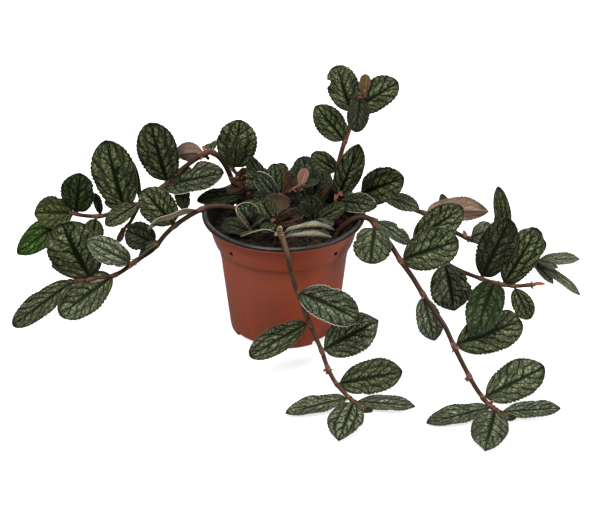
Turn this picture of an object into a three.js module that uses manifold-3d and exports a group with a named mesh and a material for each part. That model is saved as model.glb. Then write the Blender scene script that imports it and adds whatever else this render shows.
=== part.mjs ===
// Trailing foliage plant in a plastic nursery pot, in millimetres, with +Z up.
// The origin is the middle of the pot's foot, on the floor. +X is right and -Y is the front.
// Each leafy stem is one closed solid: its stem, leaf stalks and leaves are joined.

import * as THREE from 'three';
import { mergeVertices } from 'three/addons/utils/BufferGeometryUtils.js';
import Module from 'manifold-3d';

const wasm = await Module();
wasm.setup();

// Pot sizes
const POT_HEIGHT = 95;
const FOOT_RADIUS = 40;
const SHOULDER_Z = 64;
const SHOULDER_RADIUS = 47.6;
const COLLAR_Z = 76;
const COLLAR_RADIUS = 53;
const RING_Z = 71;
const RING_RADIUS = 51.2;
const RIM_RADIUS = 60;
const RIM_DEPTH = 4;
const NECK_RADIUS = 56.3;
const WALL = 1.3;
const FOOT_BEVEL = 1.5;
const FLOOR_TOP = 5;
const POT_SIDES = 36;

// Holes and notches in the pot
const HANGER_HOLE_RADIUS = 2;
const HANGER_HOLE_Z = 79;
const NOTCH_WIDTH = 19;
const NOTCH_DEPTH = 9;
const NOTCH_HEIGHT = 3.2;
const DRAIN_RADIUS = 3.2;
const DRAIN_CIRCLE = 33;

// Soil
const SOIL_Z = 80;
const SOIL_GAP = 0.35;
const SOIL_CROWN = 2;
const SOIL_SIDES = 20;
const SOIL_FLAT_RADIUS = 30;
const SOCKET_GAP = 1.1;
const SOCKET_SIDES = 6;

// Stems and leaves
const STEM_SIDES = 5;
const STEM_STEP = 11;
const HALF_THICKNESS = 0.42;
const STALK_LENGTH = 3.5;
const LONGEST_STALK_SHARE = 0.2;
const STALK_HALF_WIDTH = 0.9;
const TIP_HALF_WIDTH = 0.7;
const WIDEST_AT = 0.54;
const BASE_FULLNESS = { slim: 0.85, full: 0.6 };
const TIP_FULLNESS = 0.62;
const TOOTH = 0.06;
const WAVE = 0.035;
const WAVE_PACE = 1.9;
const FOLD = 0.09;
const LONG_LEAF = 48;
const MIDDLE_LEAF = 31;

// Anything smaller than this is left out of the finished surfaces
const SMALLEST_STEP = 0.2;

const rad = THREE.MathUtils.degToRad;
const vec = (x, y, z) => new THREE.Vector3(x, y, z);

// Turns a closed three.js geometry into a solid, and back
function solid(geometry) {
  const bare = geometry.index ? geometry.clone() : geometry;
  bare.deleteAttribute('normal');
  bare.deleteAttribute('uv');
  const merged = mergeVertices(bare, 1e-5);
  return new wasm.Manifold(new wasm.Mesh({
    numProp: 3,
    vertProperties: new Float32Array(merged.attributes.position.array),
    triVerts: new Uint32Array(merged.index.array),
  }));
}

function geometryOf(body) {
  const mesh = body.simplify(SMALLEST_STEP).getMesh();
  const geometry = new THREE.BufferGeometry();
  geometry.setAttribute('position', new THREE.BufferAttribute(mesh.vertProperties, 3));
  geometry.setIndex(new THREE.BufferAttribute(mesh.triVerts, 1));
  return geometry;
}

function closedGeometry(positions, triangles) {
  const geometry = new THREE.BufferGeometry();
  geometry.setAttribute('position', new THREE.Float32BufferAttribute(positions, 3));
  geometry.setIndex(triangles);
  return geometry;
}

// Round stem along a curve, thinner towards its tip
function stemSolid(curve, rootRadius, tipRadius) {
  const steps = Math.max(3, Math.round(curve.getLength() / STEM_STEP));
  const frames = curve.computeFrenetFrames(steps, false);
  const positions = [];
  for (let i = 0; i <= steps; i += 1) {
    const centre = curve.getPointAt(i / steps);
    const radius = rootRadius + (tipRadius - rootRadius) * (i / steps);
    for (let k = 0; k < STEM_SIDES; k += 1) {
      const turn = (2 * Math.PI * k) / STEM_SIDES;
      const point = centre.clone()
        .addScaledVector(frames.normals[i], radius * Math.cos(turn))
        .addScaledVector(frames.binormals[i], radius * Math.sin(turn));
      positions.push(point.x, point.y, point.z);
    }
  }
  const triangles = [];
  for (let i = 0; i < steps; i += 1) {
    for (let k = 0; k < STEM_SIDES; k += 1) {
      const a = i * STEM_SIDES + k;
      const b = i * STEM_SIDES + ((k + 1) % STEM_SIDES);
      triangles.push(a, b, b + STEM_SIDES, a, b + STEM_SIDES, a + STEM_SIDES);
    }
  }
  const last = steps * STEM_SIDES;
  for (let k = 1; k < STEM_SIDES - 1; k += 1) {
    triangles.push(0, k + 1, k);
    triangles.push(last, last + k, last + k + 1);
  }
  return solid(closedGeometry(positions, triangles));
}

// Half-width of a leaf, as a share of its full half-width, from its base (0) to its tip (1)
function halfWidth(along, baseFullness) {
  if (along < WIDEST_AT) return (1 - ((WIDEST_AT - along) / WIDEST_AT) ** 2) ** baseFullness;
  return (1 - ((along - WIDEST_AT) / (1 - WIDEST_AT)) ** 2.1) ** TIP_FULLNESS;
}

// A leaf grows at `base` and ends at `tip`. Its upper face looks towards a compass heading (0 is +X,
// 90 is +Y) and a rise above level. `arch` is how far its midrib bows towards that side.
function leafSolid(base, leaf) {
  const [, x, y, z, heading, rise, width, arch] = leaf;
  const chord = vec(x, y, z).sub(base);
  const length = chord.length();
  const along = chord.clone().normalize();
  const look = vec(
    Math.cos(rad(rise)) * Math.cos(rad(heading)),
    Math.cos(rad(rise)) * Math.sin(rad(heading)),
    Math.sin(rad(rise)),
  );
  const up = look.addScaledVector(along, -look.dot(along)).normalize();
  const side = along.clone().cross(up);
  let rows = 4;
  if (length > MIDDLE_LEAF) rows = 6;
  if (length > LONG_LEAF) rows = 7;
  const stalk = Math.min(STALK_LENGTH / length, LONGEST_STALK_SHARE);
  const wave = width * WAVE;
  const fold = width * FOLD;
  const positions = { upper: [], lower: [] };
  for (let row = -1; row <= rows; row += 1) {
    const part = Math.max(row, 0) / rows;
    const share = row < 0 ? 0 : stalk + (1 - stalk) * part;
    const bow = 4 * arch * share * (1 - share);
    const slope = (4 * arch * (1 - 2 * share)) / length;
    const normal = up.clone().addScaledVector(along, -slope).normalize();
    const rib = base.clone().addScaledVector(along, share * length).addScaledVector(up, bow);
    const tooth = row > 0 && row < rows && row % 2 === 0 ? 1 - TOOTH : 1;
    for (const column of [-1, 0, 1]) {
      const fullness = column < 0 ? BASE_FULLNESS.slim : BASE_FULLNESS.full;
      let reach = (width / 2) * halfWidth(part, fullness) * tooth;
      if (row <= 0) reach = STALK_HALF_WIDTH;
      reach = Math.max(reach, TIP_HALF_WIDTH);
      let ripple = 0;
      if (row > 0) ripple = wave * Math.sin(row * WAVE_PACE + column) + fold * halfWidth(part, 0.7);
      const point = rib.clone()
        .addScaledVector(side, column * reach)
        .addScaledVector(normal, Math.abs(column) * ripple);
      const over = point.clone().addScaledVector(normal, HALF_THICKNESS);
      const under = point.clone().addScaledVector(normal, -HALF_THICKNESS);
      positions.upper.push(over.x, over.y, over.z);
      positions.lower.push(under.x, under.y, under.z);
    }
  }
  const count = positions.upper.length / 3;
  const triangles = [];
  const quad = (a, b, c, d) => triangles.push(a, b, c, a, c, d);
  const last = count - 3;
  for (let a = 0; a < last; a += 3) {
    for (const c of [a, a + 1]) {
      quad(c, c + 1, c + 4, c + 3);
      triangles.push(count + c, count + c + 4, count + c + 1);
      triangles.push(count + c, count + c + 3, count + c + 4);
    }
    quad(a + 3, count + a + 3, count + a, a);
    quad(a + 2, count + a + 2, count + a + 5, a + 5);
  }
  quad(0, count, count + 1, 1);
  quad(1, count + 1, count + 2, 2);
  quad(last + 1, count + last + 1, count + last, last);
  quad(last + 2, count + last + 2, count + last + 1, last + 1);
  return solid(closedGeometry([...positions.upper, ...positions.lower], triangles));
}

// Each leafy stem: where its middle line runs, how thick it is at root and tip, and its leaves.
// A leaf's first number says where it grows, counted along the stem's points. Then come its tip (x, y, z),
// the heading and rise that its upper face looks to, its width, and the bow of its midrib.
const upright = {
  name: 'upright_stem',
  stems: [{
    root: 1.8,
    tip: 1.1,
    points: [[39, 5, 70], [39, 5, 83], [39, 4, 97], [39, 3, 124], [42, 2, 142], [47, 1, 159], [48, 0, 170],
      [51, -2, 179], [55, -3, 187]],
    leaves: [
      [6.2, 37.5, 8, 205.5, -90, 25, 23, 3],
      [8, 58, 1, 202, -70, 10, 9, 1],
      [6.5, 81, -1, 196.5, -100, 45, 24, 1],
      [7.9, 51, -29, 171, -90, 60, 16, 3],
      [4.4, 23, 0, 178, -90, 30, 21, 3],
      [3, 20, 0, 140, -95, 40, 15, 2],
      [2.2, 54, -8, 152, -85, 20, 20, 2],
      [2.15, 67, -20, 108, -95, 40, 16, 2],
    ],
  }],
};

const middle = {
  name: 'middle_shoot',
  stems: [{
    root: 1.5,
    tip: 0.9,
    points: [[-8, 9, 70], [-7, 9, 84], [-4, 11, 99], [4, 7, 107], [11, 4, 111.5]],
    leaves: [
      [2, -7, 18, 124, -90, 30, 16, 2],
      [2, -20, 12, 120, -110, 30, 14, 2],
      [4, 16, 10, 124, -90, 10, 8, 1],
      [1.6, -22, 4, 104, -90, 40, 15, 2],
      [2.2, -2, 25, 121, -90, 20, 13, 2],
      [3, 2, 8, 123, -70, 10, 7, 1],
      [4, 25, 3, 116, -90, 80, 10, 1],
    ],
  }],
};

const middleLeft = {
  name: 'middle_left_shoot',
  stems: [{
    root: 1.6,
    tip: 1,
    points: [[-22, 15, 70], [-23, 15, 84], [-26, 15, 100], [-31, 13, 113], [-37, 12, 122]],
    leaves: [
      [4, -31, 18, 159, -90, 25, 30, 3],
      [4, -33.5, 2, 153, -75, 10, 11, 1.5],
      [3.2, -30, 9, 125, -60, 20, 7, 1],
      [2, -64, 10, 97.5, -95, 55, 14, 2],
    ],
  }],
};

const frontLeft = {
  name: 'front_left_shoot',
  stems: [{
    root: 1.4,
    tip: 1,
    points: [[-21, -17, 70], [-21, -17, 84], [-22, -17, 92]],
    leaves: [
      [1.2, -33, -22, 110, -60, 20, 21, 3],
      [1.6, -14, -31, 104, -70, 50, 14, 2],
      [2, -26, -6, 106, -80, 40, 13, 2],
      [1, -45, -12, 90, -90, 60, 14, 2],
    ],
  }],
};

const frontMiddle = {
  name: 'front_middle_shoot',
  stems: [{
    root: 1.4,
    tip: 1,
    points: [[-8, -6, 70], [-8, -6, 84], [-6, -6, 92]],
    leaves: [
      [1.5, -17, -4, 106, -90, 20, 15, 2],
      [2, -4, -2, 109, 90, 10, 20, 3],
      [1.3, 14, -14, 98, -80, 45, 15, 2],
      [1.2, -14, -29, 91, -100, 60, 11, 2],
    ],
  }],
};

const middleRight = {
  name: 'middle_right_shoot',
  stems: [{
    root: 1.5,
    tip: 1,
    points: [[22, 0, 70], [22, 0, 84], [21, 6, 98]],
    leaves: [
      [1.5, 14, 26, 126, -90, 15, 22, 3],
      [1, 46, -9, 104, -90, 40, 12, 2],
      [2, 32, 9, 111, -60, 20, 7, 1],
      [1.7, 30, 22, 118, -90, 20, 17, 2],
      [1.2, 34, -16, 88, -80, 60, 14, 2],
    ],
  }],
};

const leftLow = {
  name: 'left_trailing_stem',
  stems: [{
    root: 1.9,
    tip: 1.3,
    points: [[-24, -5, 70], [-24, -5, 83], [-28, -4, 92], [-37, -2, 97.5], [-51, -3, 99.5], [-62, -6, 97.5],
      [-76, -9, 89.5], [-86, -11, 81], [-96, -13, 69], [-108, -15, 61], [-119, -17, 53], [-127, -18, 49.5],
      [-142, -20, 48], [-154, -22, 48]],
    leaves: [
      [6.3, -101.5, -9, 116, -90, 30, 26, 2],
      [4.8, -99, -16, 87, 90, 50, 20, 1.5],
      [7.7, -115, -10, 83, -90, 40, 22, 2],
      [9.3, -142, -26, 83.5, -90, 40, 20, 1],
      [9, -91, -24, 80, -90, 75, 14, 2],
      [12, -161.5, -14, 91.5, -90, 30, 39, 2],
      [10.7, -164, -36, 26.5, -90, 50, 30, 1],
      [13, -199, -36, 17.5, -90, 50, 20, 1],
      [12.6, -176, -14, 54, 90, 20, 14, 2],
    ],
  }],
};

const leftHigh = {
  name: 'left_arching_stem',
  stems: [{
    root: 1.9,
    tip: 1.2,
    points: [[-30, 22, 70], [-31, 22, 84], [-36, 23, 101], [-43, 23, 120], [-50, 22, 129.5], [-57, 21, 131],
      [-73, 20, 120], [-86, 20, 107], [-93, 20, 101], [-107, 20, 90], [-122, 20, 84], [-137, 20, 79.5],
      [-150, 20, 80], [-157, 20, 82]],
    leaves: [
      [9.8, -130, 24, 140, -90, 25, 33, 3],
      [7, -97, 22, 155, -90, 25, 30, 3],
      [5, -80, 28, 126, 90, 5, 17, 2],
      [4.3, -54, 32, 133.5, -90, 20, 11, 2],
      [7.6, -43.5, 8, 120.5, -90, 55, 25, 2],
      [7.9, -52, 27, 104, 90, 60, 17, 2],
      [6.3, -73, 8, 91, -90, 30, 12, 2],
      [9, -132, 8, 78, -90, 50, 15, 2],
      [12.7, -150, 22, 114, -90, 30, 26, 2],
      [12.8, -184, 8, 88, -90, 40, 25, 2],
      [13, -198.5, 5, 55.5, -90, 50, 22, 1],
      [11.2, -143, 12, 63, -90, 40, 16, 2],
      [11, -140, 19, 99, -60, 10, 7, 1],
      [9.6, -133, 17, 93, -80, 30, 8, 1],
      [9, -112, 26, 122.5, -60, 10, 5, 2],
    ],
  }, {
    root: 1.4,
    tip: 0.9,
    points: [[-107, 20, 90], [-111, 17, 83], [-114, 14, 78], [-118, 12, 74]],
    leaves: [
      [3, -123.5, 5, 65, -90, 35, 5, 0.5],
    ],
  }],
};

const front = {
  name: 'front_trailing_stem',
  stems: [{
    root: 1.9,
    tip: 1.2,
    points: [[-4, -24, 70], [-4, -25, 84], [-3.5, -36, 94.5], [-1.5, -47, 99.5], [0.5, -57, 99.2],
      [3, -63.5, 93.5], [4.5, -65, 86], [7, -64, 74], [10, -64, 63], [15, -64, 48], [21, -65, 31],
      [27, -67, 17], [31, -71, 6], [35, -82, 2.6], [39, -93, 2.4], [46, -107, 2.4], [56, -124, 3.5]],
    leaves: [
      [2.6, -30, -49, 99, 90, 65, 12, 3],
      [3, 36, -48, 104, 90, 65, 15, 3],
      [3.4, 34, -51, 100.5, -90, 70, 12, 2],
      [8, 53, -78, 48, -90, 50, 27, 3],
      [9.6, -24, -80, 19, -90, 45, 20, 1],
      [11.1, 68, -62, 38, -90, 45, 31, 0],
      [13.8, 84.5, -91.5, 13.5, -90, 55, 27, -0.5],
      [15.1, 2, -128.5, 2.6, -90, 84, 19, 0.5],
      [15.4, 38, -160, 2, -90, 86, 25, 1],
      [15.4, 92, -124, 5.5, -90, 75, 15, 0.5],
      [16, 62, -131, 6, -90, 60, 5, 0.5],
    ],
  }],
};

const rightFront = {
  name: 'right_front_trailing_stem',
  stems: [{
    root: 1.9,
    tip: 1.3,
    points: [[38, -14, 70], [39, -15, 83], [46, -17, 93], [54, -18, 98.5], [62, -20, 98], [69, -25, 91],
      [77, -31, 83], [84, -38, 74], [92, -45, 65], [100, -52, 54], [108, -58.5, 44], [115.5, -65, 35],
      [122, -72, 23], [127, -77, 14], [133, -84, 4.5], [136, -93, 2.6], [139, -103, 2.4], [144, -117, 2.4],
      [155, -134, 3.5]],
    leaves: [
      [4.6, 62, -42, 73.5, -90, 50, 28, 3],
      [7, 125, -40, 91, -90, 40, 30, 1],
      [9, 109, -62, 21, -90, 10, 19, 2],
      [12, 172.5, -46, 28, -95, 35, 31, 2],
      [17.2, 99, -139.5, 2, -90, 84, 20, 0],
      [17.4, 136, -172, 2, -90, 86, 26, 1],
      [17.6, 192, -130, 8, -90, 75, 16, 0],
      [16.4, 184, -97, 21, -90, 55, 29, -1],
      [18, 160, -140, 6, -90, 60, 5, 0.5],
    ],
  }, {
    root: 1.6,
    tip: 1.1,
    points: [[54, -18, 98.5], [62, -17, 96.8], [68, -15, 92.5], [80, -14, 84.5], [93, -14, 75],
      [115, -14, 61], [128, -14, 53], [141, -14, 47], [156, -14, 41.5], [170, -16, 40], [181, -18, 42]],
    leaves: [
      [1.6, 91, -23, 79.5, -90, 60, 13, 2],
      [4, 130, -10, 102, -90, 35, 24, 3],
      [5.2, 125.5, -30, 27, -90, 40, 31, 2],
      [7.3, 165, -8, 92, -90, 30, 28, 1],
      [8.4, 185.5, -8, 84, -85, 30, 25, 3],
      [8, 137, -71, 30, -95, 60, 27, 7],
      [9, 182, -25, 17, -90, 20, 16, 2],
      [10, 198, -22, 45, -80, 60, 9, 1],
    ],
  }],
};

const rightBack = {
  name: 'right_back_stem',
  stems: [{
    root: 1.8,
    tip: 1.2,
    points: [[40, 16, 70], [41, 16, 83], [46, 16, 95], [56, 15, 100], [70, 14, 99], [86, 14, 92.5],
      [99, 14, 87], [107, 14, 83.5], [119, 13, 75.5], [131, 12, 68], [149, 11, 60], [162, 10, 54],
      [175, 9, 50], [188, 8, 47.5]],
    leaves: [
      [3, 87, -5, 123, -100, 35, 27, 3],
      [4.2, 99, 2, 94, -80, 60, 15, 2],
      [6.6, 151, 8, 89.5, 90, 2, 21, 3],
      [8.5, 117, 22, 97, -90, 30, 9, 1],
      [9.4, 157, 9, 75, -90, 50, 17, 1],
      [11, 158, 20, 104, -60, 10, 16, 3],
      [11.4, 195, 5, 64, -80, 50, 22, 2],
      [13, 220.5, 4, 51.5, -90, 65, 12, 1],
      [13, 221, -8, 27.5, -60, 70, 10, 1],
      [13, 204, 2, 49, -90, 60, 8, 1],
      [12, 183, 15, 71, 90, 20, 14, 2],
    ],
  }],
};

const backRight = {
  name: 'back_right_trailing_stem',
  stems: [{
    root: 1.7,
    tip: 1,
    points: [[14, 28, 70], [14, 29, 83], [15, 40, 94], [16, 50, 98.5], [17, 60, 98], [18, 66, 92],
      [20, 72, 80], [22, 77, 62], [24, 82, 42], [26, 87, 22], [28, 94, 7], [31, 107, 2.6], [34, 120, 3.5]],
    leaves: [
      [5, 43, 74, 66, 60, 45, 24, 3],
      [2, 36, 34, 103, -80, 45, 16, 2],
      [2.4, 3, 46, 103, -100, 40, 15, 2],
      [6, 14, 97, 50, 90, 45, 22, 3],
      [7, 46, 96, 38, 60, 45, 25, 3],
      [8, 12, 114, 16, 90, 45, 22, 3],
      [9, 47, 117, 13, 60, 45, 25, 3],
      [10.6, 11, 136, 3, 90, 82, 20, 2],
      [11.4, 52, 143, 4, 70, 78, 20, 2],
      [12, 33, 166, 3, 90, 82, 22, 2],
    ],
  }],
};

const backLeft = {
  name: 'back_left_trailing_stem',
  stems: [{
    root: 1.7,
    tip: 1,
    points: [[-10, 30, 70], [-11, 31, 83], [-12, 41, 94], [-14, 51, 98.5], [-15, 61, 97.5],
      [-17, 67, 90], [-19, 72, 76], [-21, 77, 58], [-24, 82, 38], [-26, 88, 18], [-28, 97, 5],
      [-30, 110, 2.8], [-32, 124, 3.6]],
    leaves: [
      [5, -43, 73, 63, 120, 45, 24, 3],
      [2.2, -37, 42, 101, -100, 45, 17, 2],
      [6, -14, 97, 43, 90, 45, 22, 3],
      [7, -46, 93, 34, 120, 45, 25, 3],
      [8, -12, 112, 10, 90, 45, 20, 3],
      [9, -46, 116, 8, 120, 50, 24, 3],
      [10.6, -12, 140, 3, 90, 82, 20, 2],
      [11.4, -54, 142, 4, 110, 78, 20, 2],
      [12, -34, 168, 3, 90, 82, 22, 2],
    ],
  }],
};

const plants = [
  upright, middle, middleLeft, frontLeft, frontMiddle, middleRight,
  leftLow, leftHigh, front, rightFront, rightBack, backRight, backLeft,
];

function stemCurve(stem) {
  return new THREE.CatmullRomCurve3(stem.points.map(([x, y, z]) => vec(x, y, z)), false, 'catmullrom', 0.5);
}

// A stem with its leaves, joined into one closed solid
function leafyStem(plant) {
  const pieces = [];
  for (const stem of plant.stems) {
    const curve = stemCurve(stem);
    pieces.push(stemSolid(curve, stem.root, stem.tip));
    for (const leaf of stem.leaves) {
      const base = curve.getPoint(leaf[0] / (stem.points.length - 1));
      pieces.push(leafSolid(base, leaf));
    }
  }
  return wasm.Manifold.union(pieces);
}

// Outer radius of the pot's tapered wall at a height
function wallRadius(z) {
  return FOOT_RADIUS + ((SHOULDER_RADIUS - FOOT_RADIUS) * z) / SHOULDER_Z;
}

function lathe(profile, sides) {
  const geometry = new THREE.LatheGeometry(profile.map(([r, z]) => new THREE.Vector2(r, z)), sides);
  geometry.rotateX(Math.PI / 2);
  return solid(geometry);
}

function potSolid() {
  const rimLow = POT_HEIGHT - RIM_DEPTH;
  let pot = lathe([
    [0, 0], [FOOT_RADIUS - FOOT_BEVEL, 0], [wallRadius(2.5) + 0.4, 2.5], [SHOULDER_RADIUS, SHOULDER_Z],
    [RING_RADIUS, RING_Z], [COLLAR_RADIUS, COLLAR_Z], [NECK_RADIUS - 0.6, rimLow - 1],
    [RIM_RADIUS - 0.6, rimLow],
    [RIM_RADIUS, rimLow + 1], [RIM_RADIUS - 0.2, POT_HEIGHT - 1], [RIM_RADIUS - 1.6, POT_HEIGHT],
    [NECK_RADIUS, POT_HEIGHT - 0.6], [NECK_RADIUS - 0.6 - WALL, rimLow - 0.5],
    [COLLAR_RADIUS - WALL, COLLAR_Z], [RING_RADIUS - WALL, RING_Z], [SHOULDER_RADIUS - WALL, SHOULDER_Z],
    [wallRadius(FLOOR_TOP) - WALL, FLOOR_TOP], [0, FLOOR_TOP],
  ], POT_SIDES);
  for (let corner = 0; corner < 4; corner += 1) {
    const turn = rad(45 + 90 * corner);
    const hanger = new THREE.CylinderGeometry(HANGER_HOLE_RADIUS, HANGER_HOLE_RADIUS, 8, 8);
    hanger.rotateZ(Math.PI / 2);
    hanger.translate(COLLAR_RADIUS, 0, HANGER_HOLE_Z);
    hanger.rotateZ(turn);
    pot = pot.subtract(solid(hanger));
    const notch = new THREE.BoxGeometry(NOTCH_DEPTH * 2, NOTCH_WIDTH, NOTCH_HEIGHT * 2);
    notch.translate(FOOT_RADIUS, 0, 0);
    notch.rotateZ(turn);
    pot = pot.subtract(solid(notch));
    const drain = new THREE.CylinderGeometry(DRAIN_RADIUS, DRAIN_RADIUS, FLOOR_TOP * 4, 8);
    drain.rotateX(Math.PI / 2);
    drain.translate(DRAIN_CIRCLE, 0, 0);
    drain.rotateZ(turn);
    pot = pot.subtract(solid(drain));
  }
  return pot;
}

function soilSolid() {
  const bottom = FLOOR_TOP + SOIL_GAP;
  const gap = WALL + SOIL_GAP;
  const inset = Math.cos(Math.PI / POT_SIDES);
  let soil = lathe([
    [0, bottom], [(wallRadius(bottom) - gap) * inset, bottom],
    [(SHOULDER_RADIUS - gap) * inset, SHOULDER_Z],
    [(RING_RADIUS - gap) * inset, RING_Z], [(COLLAR_RADIUS - gap) * inset, COLLAR_Z],
    [(COLLAR_RADIUS - gap) * inset, SOIL_Z - 2], [SOIL_FLAT_RADIUS, SOIL_Z], [0, SOIL_Z + SOIL_CROWN],
  ], SOIL_SIDES);
  for (const plant of plants) {
    const stem = plant.stems[0];
    const low = vec(...stem.points[0]);
    const high = vec(...stem.points[1]);
    const radius = stem.root + SOCKET_GAP;
    const depth = high.distanceTo(low) + SOCKET_GAP * 2;
    const socket = new THREE.CylinderGeometry(radius, radius, depth, SOCKET_SIDES);
    const lean = high.clone().sub(low).normalize();
    const turn = new THREE.Quaternion().setFromUnitVectors(vec(0, 1, 0), lean);
    socket.applyQuaternion(turn);
    socket.translate((low.x + high.x) / 2, (low.y + high.y) / 2, (low.z + high.z) / 2);
    soil = soil.subtract(solid(socket));
  }
  return soil;
}

const finishes = {
  pot: { color: 0x8b4633, roughness: 0.45, metalness: 0 },
  soil: { color: 0x2b211c, roughness: 0.95, metalness: 0 },
  leaf: { color: 0x6f8060, roughness: 0.6, metalness: 0 },
};

function part(name, body, finish) {
  const geometry = geometryOf(body).toNonIndexed();
  geometry.computeVertexNormals();
  const mesh = new THREE.Mesh(geometry, new THREE.MeshStandardMaterial(finish));
  mesh.name = name;
  return mesh;
}

const group = new THREE.Group();
group.add(part('pot', potSolid(), finishes.pot));
group.add(part('soil', soilSolid(), finishes.soil));
for (const plant of plants) {
  group.add(part(plant.name, leafyStem(plant), finishes.leaf));
}

export default group;
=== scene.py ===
# A trailing watermelon begonia in a plastic nursery pot: the finish of every piece, with +Z up.
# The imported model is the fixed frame. Each leafy stem is rebuilt around the same points, with fine leaves.
# Sizes are in millimetres, and MM makes them metres where a piece is made.

import math

import bpy
import numpy as np
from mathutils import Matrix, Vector


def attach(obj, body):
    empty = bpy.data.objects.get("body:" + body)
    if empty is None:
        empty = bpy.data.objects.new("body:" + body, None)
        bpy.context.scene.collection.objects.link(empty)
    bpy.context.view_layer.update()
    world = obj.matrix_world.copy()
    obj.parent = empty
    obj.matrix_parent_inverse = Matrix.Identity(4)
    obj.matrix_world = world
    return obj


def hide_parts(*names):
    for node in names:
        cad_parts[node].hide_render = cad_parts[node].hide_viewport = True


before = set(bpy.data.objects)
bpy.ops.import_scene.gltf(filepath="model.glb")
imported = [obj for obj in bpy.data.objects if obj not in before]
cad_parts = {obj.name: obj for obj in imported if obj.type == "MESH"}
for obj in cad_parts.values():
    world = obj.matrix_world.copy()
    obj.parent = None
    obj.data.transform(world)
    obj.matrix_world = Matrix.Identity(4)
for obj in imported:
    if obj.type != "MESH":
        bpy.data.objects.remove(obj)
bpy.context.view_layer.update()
bpy.ops.object.select_all(action="DESELECT")


# Pot
# One thin moulded cup of two-colour plastic: terracotta outside, black inside and over the lip.
# It has a stepped collar, a rolled lip, four hanger holes, four foot notches and drainage holes.
MM = 0.001
POT_SIDES = 128
FLOOR_TOP = 5
LIP_LOW = 92.7
OUTSIDE = [
    (38.6, 0), (40.2, 0.6), (40.6, 2.5), (46.5, 58.0), (47.7, 64.5), (48.9, 69.6), (49.3, 70.4),
    (50.3, 71.2), (50.7, 71.6), (50.9, 72.3), (51.9, 74.8), (52.6, 77.0), (55.6, 90.0), (56.2, 90.8),
    (59.0, 91.1), (59.7, 91.6), (60.0, 92.6), (59.8, 93.9), (59.2, 94.7), (58.4, 95.0), (57.2, 94.8),
    (56.4, 94.3), (55.4, 92.5),
]
INSIDE = [(54.4, 90.3), (51.4, 76.1), (48.3, 70.9), (46.0, 63.9), (39.4, FLOOR_TOP)]
HANGER_HOLE_RADIUS = 1.7
HANGER_HOLE_Z = 79
COLLAR_RADIUS = 53
FOOT_RADIUS = 40
NOTCH_SIZE = (18, 19, 6.4)
DRAIN_RADIUS = 3.2
DRAIN_CIRCLE = 33
HOLE_SIDES = 24
HANGER_HOLE_DEPTH = 8
DRAIN_DEPTH = 20
# Painted shade darkens the lower wall downwards, and a painted highlight runs along the crest of the lip
PAINTED_SHADE_FROM = 60
PAINTED_SHADE_MOST_AT = 4
LIP_HIGHLIGHT_FROM = 93.6
LIP_HIGHLIGHT_MOST_AT = 94.9
POT_SMOOTH_ANGLE = 35
TERRACOTTA = (0.33, 0.064, 0.026, 1)
TERRACOTTA_BRIGHT = (0.40, 0.064, 0.022, 1)
# The darker terracotta serves both the painted shade low on the wall and the dark streaks
TERRACOTTA_SHADE_AND_STREAK = (0.20, 0.042, 0.024, 1)
BLACK_PLASTIC = (0.010, 0.0095, 0.0095, 1)
# The grey of both the painted highlight on the lip's crest and the dust specks
DUST_AND_HIGHLIGHT_PLASTIC = (0.045, 0.042, 0.040, 1)


def put(tree, kind, inputs=None, **settings):
    """Adds a node with its settings. Each input is a value or another node's output."""
    node = tree.nodes.new("ShaderNode" + kind)
    for name, value in settings.items():
        setattr(node, name, value)
    for name, value in (inputs or {}).items():
        if isinstance(value, bpy.types.NodeSocket):
            tree.links.new(value, node.inputs[name])
        else:
            node.inputs[name].default_value = value
    return node


def maths(tree, operation, *values):
    """What a Math node works out."""
    return put(tree, "Math", dict(enumerate(values)), operation=operation).outputs[0]


def fade(tree, value, low, high, start=0.0, end=1.0):
    """A value that goes smoothly from start to end while another goes from low to high."""
    inputs = {"Value": value, "From Min": low, "From Max": high, "To Min": start, "To Max": end}
    return put(tree, "MapRange", inputs, interpolation_type="SMOOTHSTEP").outputs[0]


def blend(tree, factor, first, second):
    """A colour between two colours."""
    node = put(tree, "Mix", {0: factor}, data_type="RGBA")
    for socket, colour in ((node.inputs[6], first), (node.inputs[7], second)):
        if isinstance(colour, bpy.types.NodeSocket):
            tree.links.new(colour, socket)
        else:
            socket.default_value = colour
    return node.outputs[2]


def new_material(name):
    """A material with its node tree, its surface shader and its object coordinates."""
    material = bpy.data.materials.new(name)
    material.use_nodes = True
    tree = material.node_tree
    return material, tree, tree.nodes["Principled BSDF"], put(tree, "TexCoord").outputs["Object"]


def surface(tree, shader, colour, roughness, height, depth):
    """Joins a colour, a roughness and a relief to the shader."""
    tree.links.new(colour, shader.inputs["Base Color"])
    tree.links.new(roughness, shader.inputs["Roughness"])
    bump = put(tree, "Bump", {"Height": height, "Distance": depth, "Strength": 0.8})
    tree.links.new(bump.outputs[0], shader.inputs["Normal"])


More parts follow.
